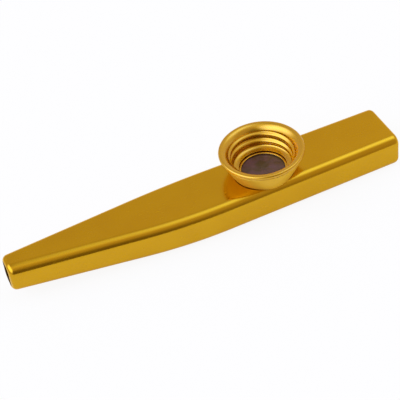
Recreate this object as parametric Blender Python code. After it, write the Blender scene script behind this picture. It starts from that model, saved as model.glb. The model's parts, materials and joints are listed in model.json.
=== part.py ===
# A metal kazoo: a flattened tube, a threaded collar pressed into its top, a screw cap in the collar,
# and a membrane under a hoop below the cap. X runs along the tube, from the mouthpiece at -X to the
# wide end at +X, Y is across it and Z is up. The wide part lies flat on z = 0. Lengths are in metres.

import math

import bmesh
import bpy

# Tube
tube_length = 0.12065
wide_end_width = 0.01797
bend_width = 0.01970
mouthpiece_width = 0.00837
wide_height = 0.01062
mouthpiece_height = 0.00929
mouthpiece_lift = 0.00359
wide_part_length = 0.0689
bend_ease = 0.0131
edge_radius = 0.00293
mouthpiece_edge_radius = 0.00312
tube_wall = 0.0008
end_roll_radius = 0.00155
end_roll_turn = math.radians(75)
mouthpiece_end_lean = 0.043

# Collar
turret_from_end = 0.04068
hole_margin = 0.0009
spigot_wall = 0.00065
spigot_drop = 0.00082
ledge_step = 0.00045
ledge_thickness = 0.0005
foot_width = 0.00082
collar_rim_wall = 0.0016
collar_rim_chamfer = 0.0003
collar_bulge = 0.0001

# Membrane and its hoop
hoop_width = 0.00095
hoop_height = 0.0005
hoop_chamfer = 0.00012
film_thickness = 0.0001
film_inset = 0.0001

# Screw cap
thread_pitch = 0.00228
thread_length = 0.0047
first_ridge_rise = 0.00143
ridge_depth = 0.0006
thread_depth = 0.0004
thread_run_out = 0.0008
cap_wall = 0.0005
lip_show = 0.00065
lip_thickness = 0.0003
lip_land = 0.0004
bowl_width = 0.00171
bowl_height = 0.0007
flare_height = 0.00155
rim_width = 0.00333
bead_radius = 0.00065

# Clearances, and how far a cutter runs past the face that it cuts
running_gap = 0.0003
seat_gap = 0.00025
film_gap = 0.0002
rim_gap = 0.00035
overrun = 0.002

# Widening of the thread with height, and where the curved walls are pulled to, as shares of their spans
thread_taper_share = 0.22
bowl_pull_share = 0.88
bowl_rise_share = 0.25
flare_pull_share = 0.42
floor_pull_share = 0.88

# How finely the surfaces are divided
round_steps = 40
corner_steps = 5
ease_steps = 8
straight_steps = 3
roll_steps = 4
lip_steps = 4
rows_per_turn = 8
curve_steps = 4
bead_steps = 7
cone_steps = 5
solve_steps = 40

mouthpiece_x = -tube_length / 2
wide_end_x = tube_length / 2
bend_x = wide_end_x - wide_part_length
turret_x = wide_end_x - turret_from_end
lip = tube_wall / 2
wall_roll_radius = end_roll_radius - lip
inner_roll_radius = end_roll_radius - tube_wall
end_roll_reach = wall_roll_radius * math.sin(end_roll_turn) + lip
end_tip_inset = end_roll_radius - wall_roll_radius * math.cos(end_roll_turn)


def along_tube(x, at_mouthpiece, at_bend, at_wide_end):
    """A size that changes evenly up to the bend and evenly past it, eased round the bend."""
    first_slope = (at_bend - at_mouthpiece) / (bend_x - mouthpiece_x)
    last_slope = (at_wide_end - at_bend) / wide_part_length
    past = x - bend_x
    if past <= -bend_ease:
        turned = 0
    elif past >= bend_ease:
        turned = past
    else:
        turned = (past + bend_ease) ** 2 / (4 * bend_ease)
    return at_bend + first_slope * past + (last_slope - first_slope) * turned


def half_width(x):
    return along_tube(x, mouthpiece_width, bend_width, wide_end_width) / 2


def underside(x):
    return along_tube(x, mouthpiece_lift, 0, 0)


def top(x):
    return along_tube(x, mouthpiece_lift + mouthpiece_height, wide_height, wide_height)


def top_edge_radius(x):
    return along_tube(x, mouthpiece_edge_radius, edge_radius, edge_radius)


def tube_top_height(x, y):
    """Height of the tube's upper surface, which falls away round its long edges."""
    radius = top_edge_radius(x)
    past = max(0, abs(y) - (half_width(x) - radius))
    return top(x) - radius + math.sqrt(max(0, radius ** 2 - past ** 2))


def tube_section(x, inset):
    """One closed outline across the tube, a given distance inside its outer surface."""
    half = half_width(x) - inset
    low = underside(x) + inset
    high = top(x) - inset
    points = []
    for quarter, (side, level) in enumerate(((1, 1), (-1, 1), (-1, -1), (1, -1))):
        radius = (top_edge_radius(x) if level > 0 else edge_radius) - inset
        centre_y = side * (half - radius)
        centre_z = high - radius if level > 0 else low + radius
        for step in range(corner_steps + 1):
            angle = (quarter + step / corner_steps) * math.pi / 2
            y = centre_y + radius * math.cos(angle)
            z = centre_z + radius * math.sin(angle)
            points.append((x, y, z))
    return points


def lean_back(ring, x):
    """Lean one outline of the narrow part, so that the mouthpiece's end comes square to the tube's top."""
    lean = mouthpiece_end_lean * fade(x, bend_x, mouthpiece_x)
    tip_height = mouthpiece_lift + end_tip_inset
    return [(point_x + lean * (z - tip_height), y, z) for point_x, y, z in ring]


def tube_stations():
    """Where the tube's outlines lie: close together round the bend, and few where it runs straight."""
    ease_start = bend_x - bend_ease
    ease_end = bend_x + bend_ease
    spans = (
        (mouthpiece_x + end_roll_reach, ease_start, straight_steps),
        (ease_start, ease_end, ease_steps),
        (ease_end, wide_end_x - end_roll_reach, straight_steps),
    )
    stations = [start + (end - start) * step / steps for start, end, steps in spans for step in range(steps)]
    return stations + [wide_end_x - end_roll_reach]


def end_roll(end_x, outward):
    """How the wall rolls inwards at one end of the tube: outside, rounded lip, then back along the inside.

    Each point is a place along the tube and how far inside the tube's outer surface it lies.
    """
    start_x = end_x - outward * end_roll_reach
    turns = [end_roll_turn * step / roll_steps for step in range(1, roll_steps + 1)]
    lip_turns = [end_roll_turn + math.pi * step / lip_steps for step in range(1, lip_steps)]
    lip_centre_x = start_x + outward * wall_roll_radius * math.sin(end_roll_turn)
    points = []
    for turn in turns:
        inset = end_roll_radius * (1 - math.cos(turn))
        points.append((start_x + outward * end_roll_radius * math.sin(turn), inset))
    for turn in lip_turns:
        inset = end_tip_inset - lip * math.cos(turn)
        points.append((lip_centre_x + outward * lip * math.sin(turn), inset))
    for turn in reversed(turns):
        inset = end_roll_radius - inner_roll_radius * math.cos(turn)
        points.append((start_x + outward * inner_roll_radius * math.sin(turn), inset))
    return points


def mesh_from_rings(name, rings):
    """A closed skin over rings of points, where the last ring joins the first."""
    model = bmesh.new()
    rows = [[model.verts.new(point) for point in ring] for ring in rings]
    for row, next_row in zip(rows, rows[1:] + rows[:1]):
        for index in range(len(row)):
            following = (index + 1) % len(row)
            model.faces.new((row[index], row[following], next_row[following], next_row[index]))
    bmesh.ops.recalc_face_normals(model, faces=model.faces)
    mesh = bpy.data.meshes.new(name)
    model.to_mesh(mesh)
    model.free()
    return mesh


def make_material(name, colour, roughness, metallic):
    material = bpy.data.materials.new(name)
    material.use_nodes = True
    surface = material.node_tree.nodes["Principled BSDF"]
    surface.inputs["Base Color"].default_value = (*colour, 1)
    surface.inputs["Roughness"].default_value = roughness
    surface.inputs["Metallic"].default_value = metallic
    return material


def add_piece(name, mesh, material, x=0, smooth_angle=40):
    mesh.materials.append(material)
    mesh.shade_smooth()
    mesh.set_sharp_from_angle(angle=math.radians(smooth_angle))
    piece = bpy.data.objects.new(name, mesh)
    piece.location.x = x
    bpy.context.collection.objects.link(piece)
    return piece


def curve(start, pull, end):
    """Points of a bend from start towards end, which isn't included, drawn over towards pull."""
    points = []
    for step in range(curve_steps):
        share = step / curve_steps
        weights = ((1 - share) ** 2, 2 * share * (1 - share), share ** 2)
        points.append(tuple(sum(w * p[axis] for w, p in zip(weights, (start, pull, end))) for axis in (0, 1)))
    return points


def turned_mesh(name, profile):
    """Turns a closed profile about the Z axis. profile(angle) gives its (radius, height) points."""
    rings = []
    for step in range(round_steps):
        angle = 2 * math.pi * step / round_steps
        points = profile(angle)
        rings.append([(r * math.cos(angle), r * math.sin(angle), z) for r, z in points])
    return mesh_from_rings(name, rings)


# The stack in the collar, from the hole in the tube inwards and upwards
hole_radius = half_width(turret_x) - hole_margin
hole_bottom = wide_height - tube_wall - spigot_drop
spigot_radius = hole_radius - seat_gap
recess_radius = spigot_radius - spigot_wall
hoop_radius = recess_radius - running_gap
hoop_inner_radius = hoop_radius - hoop_width
ledge_radius = hoop_inner_radius - ledge_step
film_radius = hoop_radius - film_inset
spigot_bottom = hole_bottom + running_gap
ledge_top = spigot_bottom + ledge_thickness
film_bottom = ledge_top + film_gap
film_top = film_bottom + film_thickness
hoop_bottom = film_top + film_gap
hoop_top = hoop_bottom + hoop_height
lip_radius = hoop_inner_radius + lip_show
lip_bottom = hoop_top + running_gap
lip_top = lip_bottom + lip_thickness
thread_bottom = lip_top + bowl_height
thread_top = thread_bottom + thread_length
thread_foot_radius = lip_radius + bowl_width
rim_top = thread_top + flare_height
collar_top = rim_top - 2 * bead_radius - rim_gap


def ridge_radius(height):
    """Radius of the crests inside the cap, which widen a little towards the rim."""
    return thread_foot_radius - ridge_depth + thread_taper_share * (height - thread_bottom)


def fade(value, start, end):
    share = min(1, max(0, (value - start) / (end - start)))
    return share * share * (3 - 2 * share)


def thread_wave(turns, depth):
    """How far out the wall is between a crest, at whole turns, and a groove: round arcs that meet halfway."""
    quarter = thread_pitch / 4
    arc_radius = (quarter ** 2 + (depth / 2) ** 2) / depth
    from_crest = abs(turns - round(turns)) * thread_pitch
    if from_crest <= quarter:
        return arc_radius - math.sqrt(arc_radius ** 2 - from_crest ** 2)
    from_groove = 2 * quarter - from_crest
    return depth - arc_radius + math.sqrt(arc_radius ** 2 - from_groove ** 2)


def groove(angle, height, depth):
    """How far outside the crest line the wall lies. The crests fade into a plain wall at both ends."""
    turns = (height - thread_bottom - first_ridge_rise) / thread_pitch - (angle - math.pi / 2) / (2 * math.pi)
    run_in = fade(height, thread_bottom, thread_bottom + thread_run_out)
    run_out = 1 - fade(height, thread_top - thread_run_out, thread_top)
    return depth - run_in * run_out * (depth - thread_wave(turns, depth))


def cap_inside(angle, height):
    return ridge_radius(height) + groove(angle, height, ridge_depth)


def cap_outside(angle, height):
    return ridge_radius(height) + cap_wall + groove(angle, height, thread_depth)


def thread_heights(start, end):
    count = max(1, round((end - start) / (thread_pitch / rows_per_turn)))
    return [start + (end - start) * step / count for step in range(count + 1)]


outer_thread_bottom = thread_bottom + cap_wall / 2
collar_top_bore = ridge_radius(collar_top) + cap_wall + thread_depth + running_gap
collar_top_radius = collar_top_bore + collar_rim_wall
collar_foot_radius = spigot_radius + foot_width
rim_radius = ridge_radius(thread_top) + rim_width


def cap_profile(angle):
    bead_centre = rim_radius - bead_radius
    bead_height = rim_top - bead_radius
    bowl_pull = (lip_radius + bowl_pull_share * bowl_width, lip_top + bowl_rise_share * bowl_height)
    points = curve((lip_radius, lip_top), bowl_pull, (thread_foot_radius, thread_bottom))
    heights = thread_heights(thread_bottom, thread_top)
    points += [(cap_inside(angle, height), height) for height in heights[:-1]]
    flare_start = (cap_inside(angle, thread_top), thread_top)
    flare_pull = (flare_start[0] + flare_pull_share * (bead_centre - flare_start[0]), rim_top)
    points += curve(flare_start, flare_pull, (bead_centre, rim_top))
    for step in range(bead_steps + 1):
        turn = math.pi / 2 - math.pi * step / bead_steps
        bead_point = (bead_centre + bead_radius * math.cos(turn), bead_height + bead_radius * math.sin(turn))
        points.append(bead_point)
    under_radius = collar_top_bore + cap_wall / 2
    points.append((under_radius, rim_top - 2 * bead_radius))
    heights = thread_heights(outer_thread_bottom, collar_top)
    points += [(cap_outside(angle, height), height) for height in reversed(heights[1:])]
    bowl_start = (cap_outside(angle, outer_thread_bottom), outer_thread_bottom)
    bowl_pull = (lip_radius + bowl_pull_share * bowl_width + cap_wall, lip_bottom + running_gap / 2)
    points += curve(bowl_start, bowl_pull, (lip_radius + lip_land, lip_bottom))
    points += [(lip_radius + lip_land, lip_bottom), (lip_radius, lip_bottom)]
    return points


def cone_radius(height):
    """Radius of the collar's outside, which flares from its foot on the tube up to the rim."""
    share = (height - wide_height) / (collar_top - wide_height)
    straight = collar_foot_radius + (collar_top_radius - collar_foot_radius) * share
    return straight + 4 * collar_bulge * share * (1 - share)


def foot_point(angle, radius):
    height = tube_top_height(turret_x + radius * math.cos(angle), radius * math.sin(angle)) + seat_gap
    return radius, height


def foot_edge(angle):
    """Where the flared outside meets the tube: the foot dips over the tube's rounded edges."""
    low = hole_bottom - overrun
    high = thread_bottom
    for _ in range(solve_steps):
        middle = (low + high) / 2
        if foot_point(angle, cone_radius(middle))[1] > middle:
            low = middle
        else:
            high = middle
    return cone_radius(low), low


def collar_profile(angle):
    edge = foot_edge(angle)
    outer_heights = [edge[1] + (collar_top - edge[1]) * step / cone_steps for step in range(cone_steps + 1)]
    points = [(ledge_radius, ledge_top), (ledge_radius, spigot_bottom), (spigot_radius, spigot_bottom)]
    points += [foot_point(angle, spigot_radius), foot_point(angle, (spigot_radius + edge[0]) / 2)]
    points += [(cone_radius(height), height) for height in outer_heights]
    points.append((collar_top_bore + collar_rim_chamfer, collar_top))
    heights = thread_heights(outer_thread_bottom, collar_top - collar_rim_chamfer)
    bore = [(cap_outside(angle, height) + running_gap, height) for height in reversed(heights)]
    points += bore[:-1]
    floor_edge = (recess_radius, lip_bottom - seat_gap)
    floor_pull_radius = recess_radius + floor_pull_share * (bore[-1][0] - recess_radius)
    points += curve(bore[-1], (floor_pull_radius, lip_bottom), floor_edge)
    points += [floor_edge, (recess_radius, ledge_top)]
    return points


def hoop_profile(angle):
    return [
        (hoop_inner_radius, hoop_bottom),
        (hoop_radius, hoop_bottom),
        (hoop_radius, hoop_top - hoop_chamfer),
        (hoop_radius - hoop_chamfer, hoop_top),
        (hoop_inner_radius + hoop_chamfer, hoop_top),
        (hoop_inner_radius, hoop_top - hoop_chamfer),
    ]


def add_cylinder(name, radius, bottom, height):
    """A solid disc about the Z axis, between two heights."""
    model = bmesh.new()
    bmesh.ops.create_cone(
        model, cap_ends=True, segments=round_steps, radius1=radius, radius2=radius, depth=height
    )
    bmesh.ops.translate(model, verts=model.verts, vec=(0, 0, bottom + height / 2))
    mesh = bpy.data.meshes.new(name)
    model.to_mesh(mesh)
    model.free()
    return mesh


def make_body_tube(material):
    stations = tube_stations()
    path = [(x, 0) for x in stations] + end_roll(wide_end_x, 1)
    path += [(x, tube_wall) for x in reversed(stations)] + list(reversed(end_roll(mouthpiece_x, -1)))
    rings = [lean_back(tube_section(x, inset), x) for x, inset in path]
    tube = add_piece("body_tube", mesh_from_rings("body_tube", rings), material)
    cutter_height = wide_height + overrun - hole_bottom
    cutter = bpy.data.objects.new("hole", add_cylinder("hole", hole_radius, hole_bottom, cutter_height))
    cutter.location.x = turret_x
    cutter.hide_render = True
    cutter.display_type = "WIRE"
    bpy.context.collection.objects.link(cutter)
    cut = tube.modifiers.new("hole", "BOOLEAN")
    cut.operation = "DIFFERENCE"
    cut.solver = "EXACT"
    cut.object = cutter


def make_collar(material):
    add_piece("collar", turned_mesh("collar", collar_profile), material, turret_x)


def make_membrane_hoop(material):
    add_piece("membrane_hoop", turned_mesh("membrane_hoop", hoop_profile), material, turret_x)


def make_membrane(material):
    disc = add_cylinder("membrane", film_radius, film_bottom, film_thickness)
    add_piece("membrane", disc, material, turret_x)


def make_screw_cap(material):
    add_piece("screw_cap", turned_mesh("screw_cap", cap_profile), material, turret_x)


def clear_scene():
    for item in list(bpy.data.objects):
        bpy.data.objects.remove(item, do_unlink=True)


clear_scene()
gold = make_material("gold_anodised", (0.48, 0.25, 0.02), 0.25, 1)
pale_gold = make_material("turned_gold", (0.58, 0.33, 0.04), 0.22, 1)
film = make_material("film", (0.07, 0.035, 0.025), 0.35, 0)
make_body_tube(gold)
make_collar(gold)
make_membrane_hoop(pale_gold)
make_membrane(film)
make_screw_cap(pale_gold)
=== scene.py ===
# A gold-coloured metal kazoo on a sheet of pale paper, under soft studio light.
# Lengths are in metres. X runs along the tube, Z is up.

import json
import math

import bmesh
import bpy
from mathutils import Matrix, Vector


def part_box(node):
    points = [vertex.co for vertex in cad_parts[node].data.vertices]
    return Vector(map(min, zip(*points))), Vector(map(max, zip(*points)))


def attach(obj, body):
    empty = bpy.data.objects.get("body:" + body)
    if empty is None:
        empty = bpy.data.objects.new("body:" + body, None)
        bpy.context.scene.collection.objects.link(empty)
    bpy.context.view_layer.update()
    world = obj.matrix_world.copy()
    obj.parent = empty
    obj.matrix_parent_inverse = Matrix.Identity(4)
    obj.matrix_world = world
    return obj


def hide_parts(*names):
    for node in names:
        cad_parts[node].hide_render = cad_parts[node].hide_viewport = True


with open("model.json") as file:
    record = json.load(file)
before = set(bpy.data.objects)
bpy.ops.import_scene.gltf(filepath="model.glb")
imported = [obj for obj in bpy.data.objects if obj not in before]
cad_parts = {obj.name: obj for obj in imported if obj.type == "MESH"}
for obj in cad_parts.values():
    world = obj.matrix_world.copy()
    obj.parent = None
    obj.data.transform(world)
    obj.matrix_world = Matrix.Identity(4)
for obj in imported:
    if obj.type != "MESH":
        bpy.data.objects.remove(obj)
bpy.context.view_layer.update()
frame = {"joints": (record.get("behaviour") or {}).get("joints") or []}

tubeLow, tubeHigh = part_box("body_tube")
collarLow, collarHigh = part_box("collar")
capLow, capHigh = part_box("screw_cap")
hoopLow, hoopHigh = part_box("membrane_hoop")
filmLow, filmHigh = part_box("membrane")
joints = {joint["name"]: joint for joint in frame["joints"]}
turretX = joints["cap_turn"]["pos_m"][0]
print("frame loaded, turret at", round(turretX, 5))


# Shader maths as expressions

class Wire:
    def __init__(self, paint, socket):
        self.paint = paint
        self.socket = socket

    def maths(self, operation, *values):
        return self.paint.add("ShaderNodeMath", {"operation": operation}, values)

    def __add__(self, other):
        return self.maths("ADD", self, other)

    def __sub__(self, other):
        return self.maths("SUBTRACT", self, other)

    def __rsub__(self, other):
        return self.maths("SUBTRACT", other, self)

    def __mul__(self, other):
        return self.maths("MULTIPLY", self, other)

    def __truediv__(self, other):
        return self.maths("DIVIDE", self, other)

    def __rtruediv__(self, other):
        return self.maths("DIVIDE", other, self)

    def __pow__(self, other):
        return self.maths("POWER", self, other)

    def __rpow__(self, other):
        return self.maths("POWER", other, self)

    def atLeast(self, floor):
        return self.maths("MAXIMUM", self, floor)

    def size(self):
        return self.maths("ABSOLUTE", self)

    __radd__ = __add__
    __rmul__ = __mul__


class Paint:
    def __init__(self, owner):
        owner.use_nodes = True
        self.owner = owner
        self.nodes = owner.node_tree.nodes
        self.links = owner.node_tree.links

    def add(self, kind, settings=None, inputs=(), output=0):
        node = self.nodes.new(kind)
        for key, value in (settings or {}).items():
            setattr(node, key, value)
        self.feed(node, inputs)
        return Wire(self, node.outputs[output])

    def feed(self, node, inputs):
        for key, value in inputs.items() if isinstance(inputs, dict) else enumerate(inputs):
            if isinstance(value, Wire):
                self.links.new(value.socket, node.inputs[key])
            else:
                node.inputs[key].default_value = value

    def place(self):
        return self.add("ShaderNodeTexCoord", output="Object")

    def stretch(self, vector, scale):
        return self.add("ShaderNodeMapping", {}, {"Vector": vector, "Scale": scale})

    def split(self, vector):
        node = self.add("ShaderNodeSeparateXYZ", {}, [vector]).socket.node
        return [Wire(self, node.outputs[axis]) for axis in range(3)]

    def grain(self, vector, scale, detail=4, roughness=0.5):
        settings = {"Vector": vector, "Scale": scale, "Detail": detail, "Roughness": roughness}
        return self.add("ShaderNodeTexNoise", {}, settings)

    def dot(self, vector, axis):
        return self.add("ShaderNodeVectorMath", {"operation": "DOT_PRODUCT"}, [vector, axis], "Value")

    def ramp(self, value, low, high):  # a soft step from 0 at low to 1 at high
        limits = {"Value": value, "From Min": low, "From Max": high}
        return self.add("ShaderNodeMapRange", {"interpolation_type": "SMOOTHSTEP"}, limits)

    def mix(self, share, first, second):
        return self.add("ShaderNodeMix", {"data_type": "RGBA"}, {0: share, 6: first, 7: second}, 2)

    def bump(self, height, distance, under=None):
        inputs = {"Height": height, "Distance": distance}
        if under:
            inputs["Normal"] = under
        return self.add("ShaderNodeBump", {}, inputs)


def newPaint(name):
    return Paint(bpy.data.materials.new(name))


def finish(paint, settings):
    paint.feed(paint.nodes["Principled BSDF"], settings)
    return paint.owner


# Mesh tools

def skinOver(name, rings, closedRows=True):  # faces between rings of points; open rows get two lids
    model = bmesh.new()
    rows = [[model.verts.new(point) for point in ring] for ring in rings]
    pairs = zip(rows, rows[1:] + rows[:1]) if closedRows else zip(rows, rows[1:])
    for row, nextRow in pairs:
        for index in range(len(row)):
            following = (index + 1) % len(row)
            model.faces.new((row[index], row[following], nextRow[following], nextRow[index]))
    if not closedRows:
        model.faces.new(rows[0])
        model.faces.new(rows[-1])
    bmesh.ops.recalc_face_normals(model, faces=model.faces)
    mesh = bpy.data.meshes.new(name)
    model.to_mesh(mesh)
    model.free()
    return mesh


sharpAngle = 50  # faces that meet at more degrees than this keep a sharp edge


def addPiece(name, mesh, material, body, nodes, x=0):
    if material:
        mesh.materials.append(material)
    mesh.shade_smooth()
    mesh.set_sharp_from_angle(angle=math.radians(sharpAngle))
    piece = bpy.data.objects.new(name, mesh)
    piece.location.x = x
    bpy.context.collection.objects.link(piece)
    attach(piece, body)
    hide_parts(*nodes)


def bend(start, pull, end, steps):  # from start towards pull and on to end, without the end itself
    points = []
    for step in range(steps):
        t = step / steps
        shares = ((1 - t) ** 2, 2 * t * (1 - t), t * t)
        corners = list(zip(shares, (start, pull, end)))
        points.append(tuple(sum(share * corner[axis] for share, corner in corners) for axis in (0, 1)))
    return points


def arc(centre, radius, fromDegrees, toDegrees, steps):
    points = []
    for step in range(steps + 1):
        turn = math.radians(fromDegrees + (toDegrees - fromDegrees) * step / steps)
        points.append((centre[0] + radius * math.cos(turn), centre[1] + radius * math.sin(turn)))
    return points


def turned(name, profile, steps):  # a profile of (radius, height) taken round Z
    rings = []
    for step in range(steps):
        angle = 2 * math.pi * step / steps
        rings.append([(r * math.cos(angle), r * math.sin(angle), z) for r, z in profile(angle)])
    return skinOver(name, rings)


def fade(value, start, end):
    share = min(1, max(0, (value - start) / (end - start)))
    return share * share * (3 - 2 * share)


# The tube

tube = {
    "wideEndWidth": 0.01797,
    "bendWidth": 0.01970,
    "mouthpieceWidth": 0.00837,
    "wideHeight": 0.01062,
    "mouthpieceHeight": 0.00929,
    "mouthpieceLift": 0.00359,
    "wideLength": 0.0689,
    "bendEase": 0.0131,
    "edgeRadius": 0.00293,
    "mouthpieceEdgeRadius": 0.00312,
    "wall": 0.0006,
    "holeRadius": 0.0086,
    "holeDepth": 0.0016,
    "sink": 0.00004,
    "rollRadius": 0.00155,
    "rollTurn": 75,  # degrees
    "endLean": 0.043,
    "cornerSteps": 12,
    "flatSteps": 8,
    "stations": 110,
    "rollSteps": 10,
    "holeSteps": 128,
    "colour": (0.65, 0.362, 0.005, 1),
    "deepColour": (0.59, 0.305, 0.004, 1),
    "bareColour": (0.82, 0.62, 0.30, 1),
    "roughness": 0.17,
    "coat": 0.25,
    "coatRoughness": 0.08,
    "deepShare": 0.35,
    "drawnLines": 9000,
    "drawnStretch": (0.03, 1, 1),
    "drawnRoughness": 0.04,
    "clouds": 90,
    "smudges": 160,
    "smudgeLimits": (0.42, 0.75),
    "scratches": 2600,
    "scratchStretch": (0.12, 1, 1),
    "scratchLimits": (0.66, 0.74),
    "scratchRoughness": 0.1,
    "scratchDepth": 0.8,
    "wear": 700,
    "evenWear": 0.5,
    "endWear": 0.6,
    "wearLimits": (0.52, 0.85),
    "bareShare": 0.5,
    "wornEnd": (0.0009, 0.0002),  # how far from the end the wear begins, and where it is full
    "lineHeight": 0.0000012,
    "waves": 70,
    "waveStretch": (0.5, 1, 1),
    "waveHeight": 0.00006,
    # painted shade: the inside colours are dark to stand for the shadow inside the tube and its rolled
    # lips
    "insideColour": (0.16, 0.075, 0.008, 1),
    "shadedColour": (0.05, 0.022, 0.004, 1),
    "insideRoughness": 0.42,
    "streaks": 1500,
    "streakStretch": (0.1, 1, 1),
    "streakLimits": (0.3, 0.8),
    "streakRoughness": 0.1,
    "streakHeight": 0.000004,
}
bendX = tubeHigh.x - tube["wideLength"]


def alongTube(x, atMouthpiece, atBend, atWideEnd):
    firstSlope = (atBend - atMouthpiece) / (bendX - tubeLow.x)
    lastSlope = (atWideEnd - atBend) / tube["wideLength"]
    past = x - bendX
    ease = tube["bendEase"]
    turn = 0 if past <= -ease else past if past >= ease else (past + ease) ** 2 / (4 * ease)
    return atBend + firstSlope * past + (lastSlope - firstSlope) * turn


def halfWidth(x):
    return alongTube(x, tube["mouthpieceWidth"], tube["bendWidth"], tube["wideEndWidth"]) / 2


def tubeTop(x):
    atMouthpiece = tube["mouthpieceLift"] + tube["mouthpieceHeight"]
    return alongTube(x, atMouthpiece, tube["wideHeight"], tube["wideHeight"])


def topEdge(x):
    return alongTube(x, tube["mouthpieceEdgeRadius"], tube["edgeRadius"], tube["edgeRadius"])


def tubeTopHeight(x, y):
    radius = topEdge(x)
    past = max(0, abs(y) - (halfWidth(x) - radius))
    return tubeTop(x) - radius + math.sqrt(max(0, radius ** 2 - past ** 2))


def tubeSection(x, inset):
    half = halfWidth(x) - inset
    low = alongTube(x, tube["mouthpieceLift"], 0, 0) + inset
    high = tubeTop(x) - inset
    corners = []
    for quarter, (side, level) in enumerate(((1, 1), (-1, 1), (-1, -1), (1, -1))):
        radius = (topEdge(x) if level > 0 else tube["edgeRadius"]) - inset
        centre = (side * (half - radius), high - radius if level > 0 else low + radius)
        corners.append(arc(centre, radius, 90 * quarter, 90 * quarter + 90, tube["cornerSteps"]))
    points = []
    for corner, following in zip(corners, corners[1:] + corners[:1]):
        points += corner
        y, z = corner[-1]
        acrossY, acrossZ = following[0][0] - y, following[0][1] - z
        spread = math.hypot(acrossY, acrossZ)
        for step in range(1, tube["flatSteps"]):
            share = step / tube["flatSteps"]
            pull = tube["sink"] * 4 * share * (1 - share) / spread  # the pressed flats sink a little
            points.append((y + acrossY * share - acrossZ * pull, z + acrossZ * share + acrossY * pull))
    return [(x, y, z) for y, z in points]


def endRoll():  # both ends roll inwards: (how far out, how far in) round the lip and back
    outer, lip, full = tube["rollRadius"], tube["wall"] / 2, math.radians(tube["rollTurn"])
    middle, inner, steps = outer - lip, outer - 2 * lip, tube["rollSteps"]
    turns = [full * step / steps for step in range(1, steps + 1)]
    lipTurns = [full + math.pi * step / steps for step in range(1, steps)]
    centre = (middle * math.sin(full), outer - middle * math.cos(full))
    points = [(outer * math.sin(t), outer - outer * math.cos(t)) for t in turns]
    points += [(centre[0] + lip * math.sin(t), centre[1] - lip * math.cos(t)) for t in lipTurns]
    return points + [(inner * math.sin(t), outer - inner * math.cos(t)) for t in reversed(turns)]


def makeTubeMesh(outside, inside):
    roll = endRoll()
    tip = roll.index(max(roll))
    reach, tipInset = roll[tip]
    first, last = tubeLow.x + reach, tubeHigh.x - reach
    steps = tube["stations"]
    stations = [first + (last - first) * step / steps for step in range(steps + 1)]
    path = [(x, 0) for x in stations] + [(last + out, inset) for out, inset in roll]
    path += [(x, tube["wall"]) for x in reversed(stations)]
    path += [(first - out, inset) for out, inset in reversed(roll)]
    tipHeight = tube["mouthpieceLift"] + tipInset
    rings = []
    for station, inset in path:  # the narrow part leans back until its end is square to its top
        lean = tube["endLean"] * fade(station, bendX, tubeLow.x)
        section = tubeSection(station, inset)
        rings.append([(x + lean * (z - tipHeight), y, z) for x, y, z in section])
    mesh = skinOver("tubeShell", rings)
    mesh.materials.append(outside)
    mesh.materials.append(inside)
    for face in mesh.polygons:  # the inside begins at the tip of each rolled edge: a duller finish, painted dark as shade
        row = face.index // len(rings[0])
        face.material_index = len(stations) + tip <= row < len(path) - tip - 1
    return mesh


def cutHole(mesh):
    model = bmesh.new()
    depth = tube["wideHeight"] / 2
    bmesh.ops.create_cone(model, cap_ends=True, segments=tube["holeSteps"], radius1=tube["holeRadius"],
                          radius2=tube["holeRadius"], depth=depth)
    bottom = tube["wideHeight"] - tube["holeDepth"]
    bmesh.ops.translate(model, verts=model.verts, vec=(turretX, 0, bottom + depth / 2))
    cutterMesh = bpy.data.meshes.new("holeCutter")
    model.to_mesh(cutterMesh)
    model.free()
    cutter = bpy.data.objects.new("holeCutter", cutterMesh)
    shell = bpy.data.objects.new("shell", mesh)
    bpy.context.collection.objects.link(cutter)
    bpy.context.collection.objects.link(shell)
    cut = shell.modifiers.new("hole", "BOOLEAN")
    cut.solver = "EXACT"
    cut.object = cutter
    bpy.context.view_layer.update()
    result = bpy.data.meshes.new_from_object(shell.evaluated_get(bpy.context.evaluated_depsgraph_get()))
    bpy.data.objects.remove(shell)
    bpy.data.objects.remove(cutter)
    return result


# The turned pieces: cap, collar, hoop

thread = {
    "pitch": 0.00228,
    "length": 0.0047,
    "firstRidgeRise": 0.00143,
    "ridgeDepth": 0.0006,
    "outerDepth": 0.0004,
    "runOut": 0.0008,
    "taper": 0.22,
    "footRadius": 0.0088,
    "rowsPerTurn": 24,
}
cap = {
    "wall": 0.0005,
    "lipRadius": 0.0071,
    "lipThickness": 0.0003,
    "lipLand": 0.0004,
    "bowlWidth": 0.0017,
    "bowlHeight": 0.0007,
    "bowlPull": 0.88,
    "bowlRise": 0.25,
    "flarePull": 0.42,
    "lipRound": 0.0001,
    "beadRadius": 0.00065,
    "gap": 0.0003,
    "steps": 240,
    "bendSteps": 12,
    "footSteps": 10,
    "flareSteps": 16,
    "beadSteps": 16,
    "colour": (0.69, 0.385, 0.008, 1),
    "deepColour": (0.62, 0.33, 0.005, 1),
    "roughness": 0.24,
    "coat": 0.8,
    "turnedLines": 16000,
    "lineHeight": 0.000002,
}
lipTop = capLow.z + cap["lipThickness"]
threadBottom = lipTop + cap["bowlHeight"]
threadTop = threadBottom + thread["length"]


def ridgeRadius(height):
    return thread["footRadius"] - thread["ridgeDepth"] + thread["taper"] * (height - threadBottom)


def threadWave(turns, depth):  # round arcs, 0 on a crest and the full depth in a groove
    quarter = thread["pitch"] / 4
    radius = (quarter ** 2 + (depth / 2) ** 2) / depth
    fromCrest = abs(turns - round(turns)) * thread["pitch"]
    if fromCrest <= quarter:
        return radius - math.sqrt(radius ** 2 - fromCrest ** 2)
    return depth - radius + math.sqrt(radius ** 2 - (2 * quarter - fromCrest) ** 2)


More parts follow.
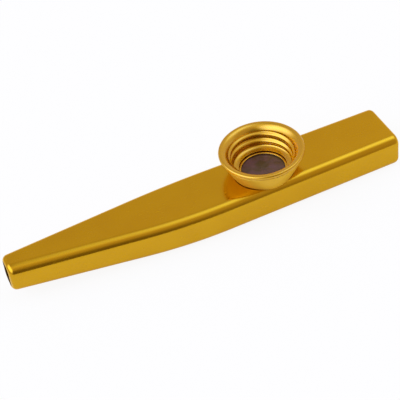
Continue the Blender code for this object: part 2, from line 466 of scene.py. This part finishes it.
def groove(angle, height, depth):
    turns = (height - threadBottom - thread["firstRidgeRise"]) / thread["pitch"]
    turns -= (angle - math.pi / 2) / (2 * math.pi)
    runIn = fade(height, threadBottom, threadBottom + thread["runOut"])
    runOut = 1 - fade(height, threadTop - thread["runOut"], threadTop)
    return depth - runIn * runOut * (depth - threadWave(turns, depth))


def capInside(angle, height):
    return ridgeRadius(height) + groove(angle, height, thread["ridgeDepth"])


def capOutside(angle, height):
    return ridgeRadius(height) + cap["wall"] + groove(angle, height, thread["outerDepth"])


# the collar's bore at its rim
boreRadius = ridgeRadius(collarHigh.z) + cap["wall"] + thread["outerDepth"] + cap["gap"]


def threadRows(low, high):
    count = round((high - low) / thread["pitch"] * thread["rowsPerTurn"])
    return [low + (high - low) * step / count for step in range(count + 1)]


def capProfile(angle):
    rimRadius = capHigh.y
    beadCentre = (rimRadius - cap["beadRadius"], capHigh.z - cap["beadRadius"])
    lip = (cap["lipRadius"], lipTop)
    bowlPull = (cap["lipRadius"] + cap["bowlPull"] * cap["bowlWidth"],
                lipTop + cap["bowlRise"] * cap["bowlHeight"])
    points = bend(lip, bowlPull, (thread["footRadius"], threadBottom), cap["bendSteps"])
    points += [(capInside(angle, z), z) for z in threadRows(threadBottom, threadTop)[:-1]]
    flareStart = (capInside(angle, threadTop), threadTop)
    flarePull = (flareStart[0] + cap["flarePull"] * (beadCentre[0] - flareStart[0]), capHigh.z)
    points += bend(flareStart, flarePull, (beadCentre[0], capHigh.z), cap["flareSteps"])
    points += arc(beadCentre, cap["beadRadius"], 90, -90, cap["beadSteps"])
    points.append((boreRadius + cap["wall"] / 2, capHigh.z - 2 * cap["beadRadius"]))
    outerFoot = threadBottom + cap["wall"] / 2
    points += [(capOutside(angle, z), z) for z in reversed(threadRows(outerFoot, collarHigh.z)[1:])]
    landRadius = cap["lipRadius"] + cap["lipLand"]
    outerPull = (bowlPull[0] + cap["wall"], capLow.z + cap["gap"] / 2)
    foot = (capOutside(angle, outerFoot), outerFoot)
    points += bend(foot, outerPull, (landRadius, capLow.z), cap["footSteps"])
    lipRound = cap["lipRound"]
    points += [(landRadius, capLow.z), (cap["lipRadius"] + lipRound, capLow.z)]
    return points + [(cap["lipRadius"], capLow.z + lipRound)]


collar = {
    "spigotRadius": 0.00835,
    "recessRadius": 0.0077,
    "ledgeRadius": 0.0060,
    "ledgeTop": 0.0098,
    "footRadius": 0.00917,
    "seatGap": 0.00025,
    "rimRound": 0.0003,
    "rimFrom": 20,  # degrees up from level, where the rim's round begins
    "bulge": 0.0001,
    "floorPull": 0.88,
    "steps": 160,
    "coneSteps": 24,
    "rimSteps": 5,
    "floorSteps": 10,
    "footHalvings": 40,
    "colour": (0.84, 0.565, 0.06, 1),
    "deepColour": (0.76, 0.50, 0.045, 1),
    "roughness": 0.56,
    "coat": 0.1,
    "turnedLines": 16000,
    "lineHeight": 0.000007,
}


def coneRadius(height):
    share = (height - tube["wideHeight"]) / (collarHigh.z - tube["wideHeight"])
    straight = collar["footRadius"] + (collarHigh.y - collar["footRadius"]) * share
    return straight + 4 * collar["bulge"] * share * (1 - share)


def footPoint(angle, radius):
    under = tubeTopHeight(turretX + radius * math.cos(angle), radius * math.sin(angle))
    return radius, under + collar["seatGap"]


def footEdge(angle):  # where the collar's cone meets the tube's top
    low, high = tube["wideHeight"] / 2, threadBottom
    for _ in range(collar["footHalvings"]):
        middle = (low + high) / 2
        if footPoint(angle, coneRadius(middle))[1] > middle:
            low = middle
        else:
            high = middle
    return coneRadius(low), low


def collarProfile(angle):
    edge = footEdge(angle)
    rise = collarHigh.z - edge[1]
    topRound = collar["rimRound"]
    points = [(collar["ledgeRadius"], collar["ledgeTop"]), (collar["ledgeRadius"], collarLow.z)]
    points += [(collar["spigotRadius"], collarLow.z), footPoint(angle, collar["spigotRadius"])]
    points.append(footPoint(angle, (collar["spigotRadius"] + edge[0]) / 2))
    steps = collar["coneSteps"]
    heights = [edge[1] + (rise - topRound) * step / steps for step in range(steps + 1)]
    points += [(coneRadius(z), z) for z in heights]
    rimCentre = (coneRadius(heights[-1]) - topRound, collarHigh.z - topRound)
    points += arc(rimCentre, topRound, collar["rimFrom"], 90, collar["rimSteps"])
    points.append((boreRadius + topRound, collarHigh.z))
    outerFoot = threadBottom + cap["wall"] / 2
    rows = threadRows(outerFoot, collarHigh.z - topRound)
    bore = [(capOutside(angle, z) + cap["gap"], z) for z in rows]
    points += list(reversed(bore))[:-1]
    floorEdge = (collar["recessRadius"], capLow.z - collar["seatGap"])
    floorPull = (floorEdge[0] + collar["floorPull"] * (bore[0][0] - floorEdge[0]), capLow.z)
    points += bend(bore[0], floorPull, floorEdge, collar["floorSteps"])
    return points + [floorEdge, (collar["recessRadius"], collar["ledgeTop"])]


hoop = {
    "width": 0.00095,
    "edgeRound": 0.00016,
    "steps": 160,
    "edgeSteps": 5,
    "colour": (0.74, 0.45, 0.03, 1),
    "deepColour": (0.62, 0.35, 0.01, 1),
    "roughness": 0.15,
    "coat": 0.6,
    "turnedLines": 22000,
    "lineHeight": 0.000002,
}


def hoopProfile(angle):
    edge = hoop["edgeRound"]
    inner, outer = hoopHigh.y - hoop["width"] + edge, hoopHigh.y - edge
    low, high = hoopLow.z + edge, hoopHigh.z - edge
    points = []
    for quarter, centre in enumerate(((inner, low), (outer, low), (outer, high), (inner, high))):
        turn = 180 + 90 * quarter
        points += arc(centre, edge, turn, turn + 90, hoop["edgeSteps"])
    return points


# The membrane

film = {
    "sag": 0.00018,
    "wrinkle": 0.00003,
    "wrinkles": 23,
    "wrinkleSway": 3,
    "ripples": 7,
    "rippleTwist": 9,
    "rippleShare": 0.6,
    "held": (0.95, 0.8),  # shares of the radius between which the hoop lets go
    "rings": 26,
    "firstRing": 0.4,
    "steps": 144,
    "oliveColour": (0.080, 0.043, 0.010, 1),
    "purpleColour": (0.135, 0.060, 0.048, 1),
    "roughness": 0.26,
    "coat": 0.1,
    "coatRoughness": 0.12,
    "specular": 0.4,
    "fibres": 2200,
    "fibreStretch": (1, 0.25, 1),
    "fibreRoughness": 0.12,
    "fibreHeight": 0.2,
    "clouds": 200,
    "cloudLimits": (0.38, 0.62),
    "creases": 500,
    "creaseHeight": 0.00002,
}


def filmHeight(radius, angle):
    share = radius / filmHigh.y
    free = fade(share, *film["held"])
    sway = film["wrinkleSway"] * math.sin(2 * angle)
    pleats = math.sin(film["wrinkles"] * angle + sway) * share ** 3
    pleats += film["rippleShare"] * math.sin(film["ripples"] * angle + film["rippleTwist"] * share)
    return -free * (film["sag"] * (1 - share ** 2) + film["wrinkle"] * pleats)


def makeFilmMesh():
    rings = []
    first, last = film["firstRing"], film["rings"] + film["firstRing"]
    outwards = [filmHigh.y * (step + first) / last for step in range(film["rings"] + 1)]
    for level, radii in ((filmHigh.z, outwards), (filmLow.z, outwards[::-1])):
        for radius in radii:
            ring = []
            for step in range(film["steps"]):
                angle = 2 * math.pi * step / film["steps"]
                z = level + filmHeight(radius, angle)
                ring.append((radius * math.cos(angle), radius * math.sin(angle), z))
            rings.append(ring)
    return skinOver("membraneFilm", rings, closedRows=False)


# Materials

gold = {
    "edgeTint": (1, 0.8, 0.35, 1),  # keeps the edges from turning white
    "cloudLimits": (0.35, 0.7),
    "smudgeRoughness": 0.05,
}
turnedGold = {
    "deepShare": 0.3,
    "clouds": 220,
    "smudges": 300,
    "smudgeLimits": (0.45, 0.75),
    "lineRoughness": 0.06,
    "coatRoughness": 0.06,
}


def makeTubeGold():
    paint = newPaint("tubeGold")
    place = paint.place()
    drawn = paint.stretch(place, tube["drawnStretch"])  # fine lines along the tube
    drawn = paint.grain(drawn, tube["drawnLines"], 3, 0.6)
    scratch = paint.grain(paint.stretch(place, tube["scratchStretch"]), tube["scratches"], 2, 0.4)
    scratch = paint.ramp(scratch, *tube["scratchLimits"])
    cloud = paint.ramp(paint.grain(place, tube["clouds"], 3), *gold["cloudLimits"])
    smudge = paint.ramp(paint.grain(place, tube["smudges"], 5, 0.6), *tube["smudgeLimits"])
    x = paint.split(place)[0]
    far, near = tube["wornEnd"]
    ends = paint.ramp(x, tubeHigh.x - far, tubeHigh.x - near)
    ends += paint.ramp(x, tubeLow.x + far, tubeLow.x + near)
    wear = paint.grain(place, tube["wear"], 4) * tube["evenWear"] + ends * tube["endWear"]
    worn = paint.ramp(wear, *tube["wearLimits"])
    colour = paint.mix(cloud * tube["deepShare"], tube["colour"], tube["deepColour"])
    colour = paint.mix(worn * tube["bareShare"], colour, tube["bareColour"])
    roughness = tube["roughness"] + smudge * gold["smudgeRoughness"] + drawn * tube["drawnRoughness"]
    roughness += scratch * tube["scratchRoughness"]
    fine = paint.bump(drawn - scratch * tube["scratchDepth"], tube["lineHeight"])
    wave = paint.grain(paint.stretch(place, tube["waveStretch"]), tube["waves"], 2)
    normal = paint.bump(wave, tube["waveHeight"], fine)
    return finish(paint, {
        "Base Color": colour, "Metallic": 1.0, "Roughness": roughness, "Normal": normal,
        "Specular Tint": gold["edgeTint"], "Coat Weight": tube["coat"],
        "Coat Roughness": tube["coatRoughness"]})


# painted shade: the inside is coloured dark for the shadow in the tube, in streaks of deeper shade; its
# higher roughness is a duller finish
def makeTubeInsidePaintedShade():
    paint = newPaint("tubeInside")
    place = paint.place()
    streaks = paint.grain(paint.stretch(place, tube["streakStretch"]), tube["streaks"], 4, 0.6)
    light = paint.ramp(streaks, *tube["streakLimits"])
    colour = paint.mix(light, tube["shadedColour"], tube["insideColour"])
    roughness = tube["insideRoughness"] + streaks * tube["streakRoughness"]
    normal = paint.bump(streaks, tube["streakHeight"])
    return finish(paint, {
        "Base Color": colour, "Metallic": 1.0, "Roughness": roughness, "Normal": normal,
        "Specular Tint": gold["edgeTint"]})


def makeTurnedGold(name, look):
    paint = newPaint(name)
    place = paint.place()
    x, y, z = paint.split(place)
    around = (x * x + y * y) ** 0.5
    section = paint.add("ShaderNodeCombineXYZ", {}, [around, z, 0.0])
    turning = paint.grain(section, look["turnedLines"], 3, 0.7)  # lathe marks run round the axis
    cloud = paint.ramp(paint.grain(place, turnedGold["clouds"], 3), *gold["cloudLimits"])
    smudge = paint.ramp(paint.grain(place, turnedGold["smudges"], 5, 0.6), *turnedGold["smudgeLimits"])
    colour = paint.mix(cloud * turnedGold["deepShare"], look["colour"], look["deepColour"])
    roughness = look["roughness"] + smudge * gold["smudgeRoughness"]
    roughness += turning * turnedGold["lineRoughness"]
    normal = paint.bump(turning, look["lineHeight"])
    return finish(paint, {
        "Base Color": colour, "Metallic": 1.0, "Roughness": roughness, "Normal": normal,
        "Specular Tint": gold["edgeTint"], "Coat Weight": look["coat"],
        "Coat Roughness": turnedGold["coatRoughness"]})


def makeFilm():
    paint = newPaint("membraneFilm")
    place = paint.place()
    fibres = paint.grain(paint.stretch(place, film["fibreStretch"]), film["fibres"], 4, 0.6)
    cloud = paint.ramp(paint.grain(place, film["clouds"], 3), *film["cloudLimits"])
    colour = paint.mix(cloud, film["oliveColour"], film["purpleColour"])
    roughness = film["roughness"] + fibres * film["fibreRoughness"]
    creases = paint.grain(place, film["creases"], 3) + fibres * film["fibreHeight"]
    normal = paint.bump(creases, film["creaseHeight"])
    return finish(paint, {
        "Base Color": colour, "Roughness": roughness, "Normal": normal, "Coat Weight": film["coat"],
        "Coat Roughness": film["coatRoughness"], "Specular IOR Level": film["specular"]})


collarGold = makeTurnedGold("collarGold", collar)
capGold = makeTurnedGold("capGold", cap)
hoopGold = makeTurnedGold("hoopGold", hoop)
tubeGold, tubeInside = makeTubeGold(), makeTubeInsidePaintedShade()
print("materials ready")

addPiece("tubeShell", cutHole(makeTubeMesh(tubeGold, tubeInside)), None, "tube_and_collar",
         ["body_tube"])
addPiece("threadedCollar", turned("threadedCollar", collarProfile, collar["steps"]), collarGold,
         "tube_and_collar", ["collar"], turretX)
addPiece("screwCap", turned("screwCap", capProfile, cap["steps"]), capGold, "cap",
         ["screw_cap"], turretX)
addPiece("membraneHoop", turned("membraneHoop", hoopProfile, hoop["steps"]), hoopGold,
         "membrane_unit", ["membrane_hoop"], turretX)
addPiece("membraneFilm", makeFilmMesh(), makeFilm(), "membrane_unit", ["membrane"], turretX)
print("pieces ready")


# Stage, light and camera

stage = {
    "paperSize": 0.6,
    "paper": (0.92, 0.90, 0.78, 1),
    "roughness": 0.7,
    "specular": 0.2,
    "whiteSeen": 0.9,
    "whiteMirrored": 0.4,
}
white = (1, 1, 1, 1)


def makeStage():  # the camera sees the paper nearly white, and it still takes the shadow
    bpy.ops.mesh.primitive_plane_add(size=stage["paperSize"])
    paper = bpy.context.object
    paper.name = "paperSheet"
    paint = newPaint("paper")
    seen = paint.add("ShaderNodeLightPath", output="Is Camera Ray")
    glossy = paint.add("ShaderNodeLightPath", output="Is Glossy Ray")
    through = paint.add("ShaderNodeLightPath", output="Is Transmission Ray")
    share = seen * stage["whiteSeen"] + (glossy + through) * stage["whiteMirrored"]
    lit = paint.nodes["Principled BSDF"]
    paint.feed(lit, {"Base Color": stage["paper"], "Roughness": stage["roughness"],
                     "Specular IOR Level": stage["specular"]})
    glow = paint.add("ShaderNodeEmission", {}, {"Color": white, "Strength": 1.0})
    blend = paint.add("ShaderNodeMixShader", {}, [share, Wire(paint, lit.outputs[0]), glow])
    paint.links.new(blend.socket, paint.nodes["Material Output"].inputs["Surface"])
    paper.data.materials.append(paint.owner)


# Directions and spreads are in degrees. Limits are cosines of the angle from a direction: where a shade
# begins and where it is full.
room = {
    "left": (0.675, 0.60, 0.52, 1),
    "right": (0.755, 0.67, 0.58, 1),
    "rightLimits": (0.1, 0.45),
    "ceiling": (0.565, 0.50, 0.44, 1),
    "ceilingLimits": (0.7, 0.95),
    "near": (0.58, 0.47, 0.36, 1),
    "nearTowards": (252, 0),
    "nearLimits": (-0.05, 0.4),
    "nearTop": (1.05, 1.00, 1.00, 1),
    "nearTopLimits": (0.73, 1.06),
    "dark": (0.20, 0.155, 0.11, 1),
    "darkTowards": (262, 9),
    "darkSpread": 38,
}
softboxes = {
    "left": {"light": (2.1, 2.35, 3.9, 1), "towards": (190, 40), "width": 72, "height": 44, "soft": 32},
    "top": {"light": (1.5, 1.75, 2.6, 1), "towards": (-5, 62), "width": 30, "height": 36, "soft": 26},
}


def compass(azimuth, elevation):
    azimuth, elevation = math.radians(azimuth), math.radians(elevation)
    flat = math.cos(elevation)
    return Vector((flat * math.cos(azimuth), flat * math.sin(azimuth), math.sin(elevation)))


def softboxShare(paint, direction, box):  # 1 inside a flat rectangle far away, fading at its border
    forward = compass(*box["towards"])
    across = Vector((0, 0, 1)).cross(forward).normalized()
    ahead = paint.dot(direction, forward)
    share = paint.ramp(ahead, 0.0, 0.05)
    for axis, spread in ((across, box["width"]), (forward.cross(across), box["height"])):
        offset = (paint.dot(direction, axis) / ahead.atLeast(0.01)).size()
        edge, soft = math.radians(spread / 2), math.radians(box["soft"] / 2)
        share = share * paint.ramp(offset, math.tan(edge + soft), math.tan(edge - soft))
    return share


def makeRoom():
    world = bpy.data.worlds.new("studio")
    bpy.context.scene.world = world
    paint = Paint(world)
    direction = paint.add("ShaderNodeTexCoord", output="Generated")

    def towards(azimuth, elevation):
        return paint.dot(direction, compass(azimuth, elevation))

    high = towards(0, 90)
    far = paint.mix(paint.ramp(towards(0, 0), *room["rightLimits"]), room["left"], room["right"])
    far = paint.mix(paint.ramp(high, *room["ceilingLimits"]), far, room["ceiling"])
    near = paint.mix(paint.ramp(high, *room["nearTopLimits"]), room["near"], room["nearTop"])
    shade = paint.mix(paint.ramp(towards(*room["nearTowards"]), *room["nearLimits"]), far, near)
    darkEdge = math.cos(math.radians(room["darkSpread"]))
    shade = paint.mix(paint.ramp(towards(*room["darkTowards"]), darkEdge, 1.0), shade, room["dark"])
    for box in softboxes.values():
        shade = paint.mix(softboxShare(paint, direction, box), shade, box["light"])
    seen = paint.add("ShaderNodeLightPath", output="Is Camera Ray")
    shade = paint.mix(seen, shade, white)
    paint.feed(paint.nodes["Background"], {"Color": shade, "Strength": 1.0})


view = {
    "azimuth": -17.57,
    "elevation": 43.21,
    "roll": -8.99,
    "distance": 0.34007,
    "aim": (-0.00027, 0, 0.006),
    "sensor": 36,
    "lens": 104.98,
    "shift": (-0.0078, 0.0088),
    "clipStart": 0.01,
}


def makeCamera():
    azimuth, elevation, roll = (math.radians(view[key]) for key in ("azimuth", "elevation", "roll"))
    back = Vector((math.sin(azimuth) * math.cos(elevation), -math.cos(azimuth) * math.cos(elevation),
                   math.sin(elevation)))
    right = Vector((math.cos(azimuth), math.sin(azimuth), 0))
    up = back.cross(right)
    data = bpy.data.cameras.new("camera")
    data.sensor_width = view["sensor"]
    data.lens = view["lens"]
    data.shift_x, data.shift_y = view["shift"]
    data.clip_start = view["clipStart"]
    camera = bpy.data.objects.new("camera", data)
    rolledRight = math.cos(roll) * right + math.sin(roll) * up
    rolledUp = math.cos(roll) * up - math.sin(roll) * right
    turn = camera.matrix_world.copy()
    for column, axis in enumerate((rolledRight, rolledUp, back)):
        for row in range(3):
            turn[row][column] = axis[row]
    camera.matrix_world = turn
    camera.location = Vector(view["aim"]) + back * view["distance"]
    bpy.context.collection.objects.link(camera)
    bpy.context.scene.camera = camera


makeStage()
makeRoom()
makeCamera()
bpy.context.scene.view_settings.view_transform = "Standard"
print("stage, light and camera ready")
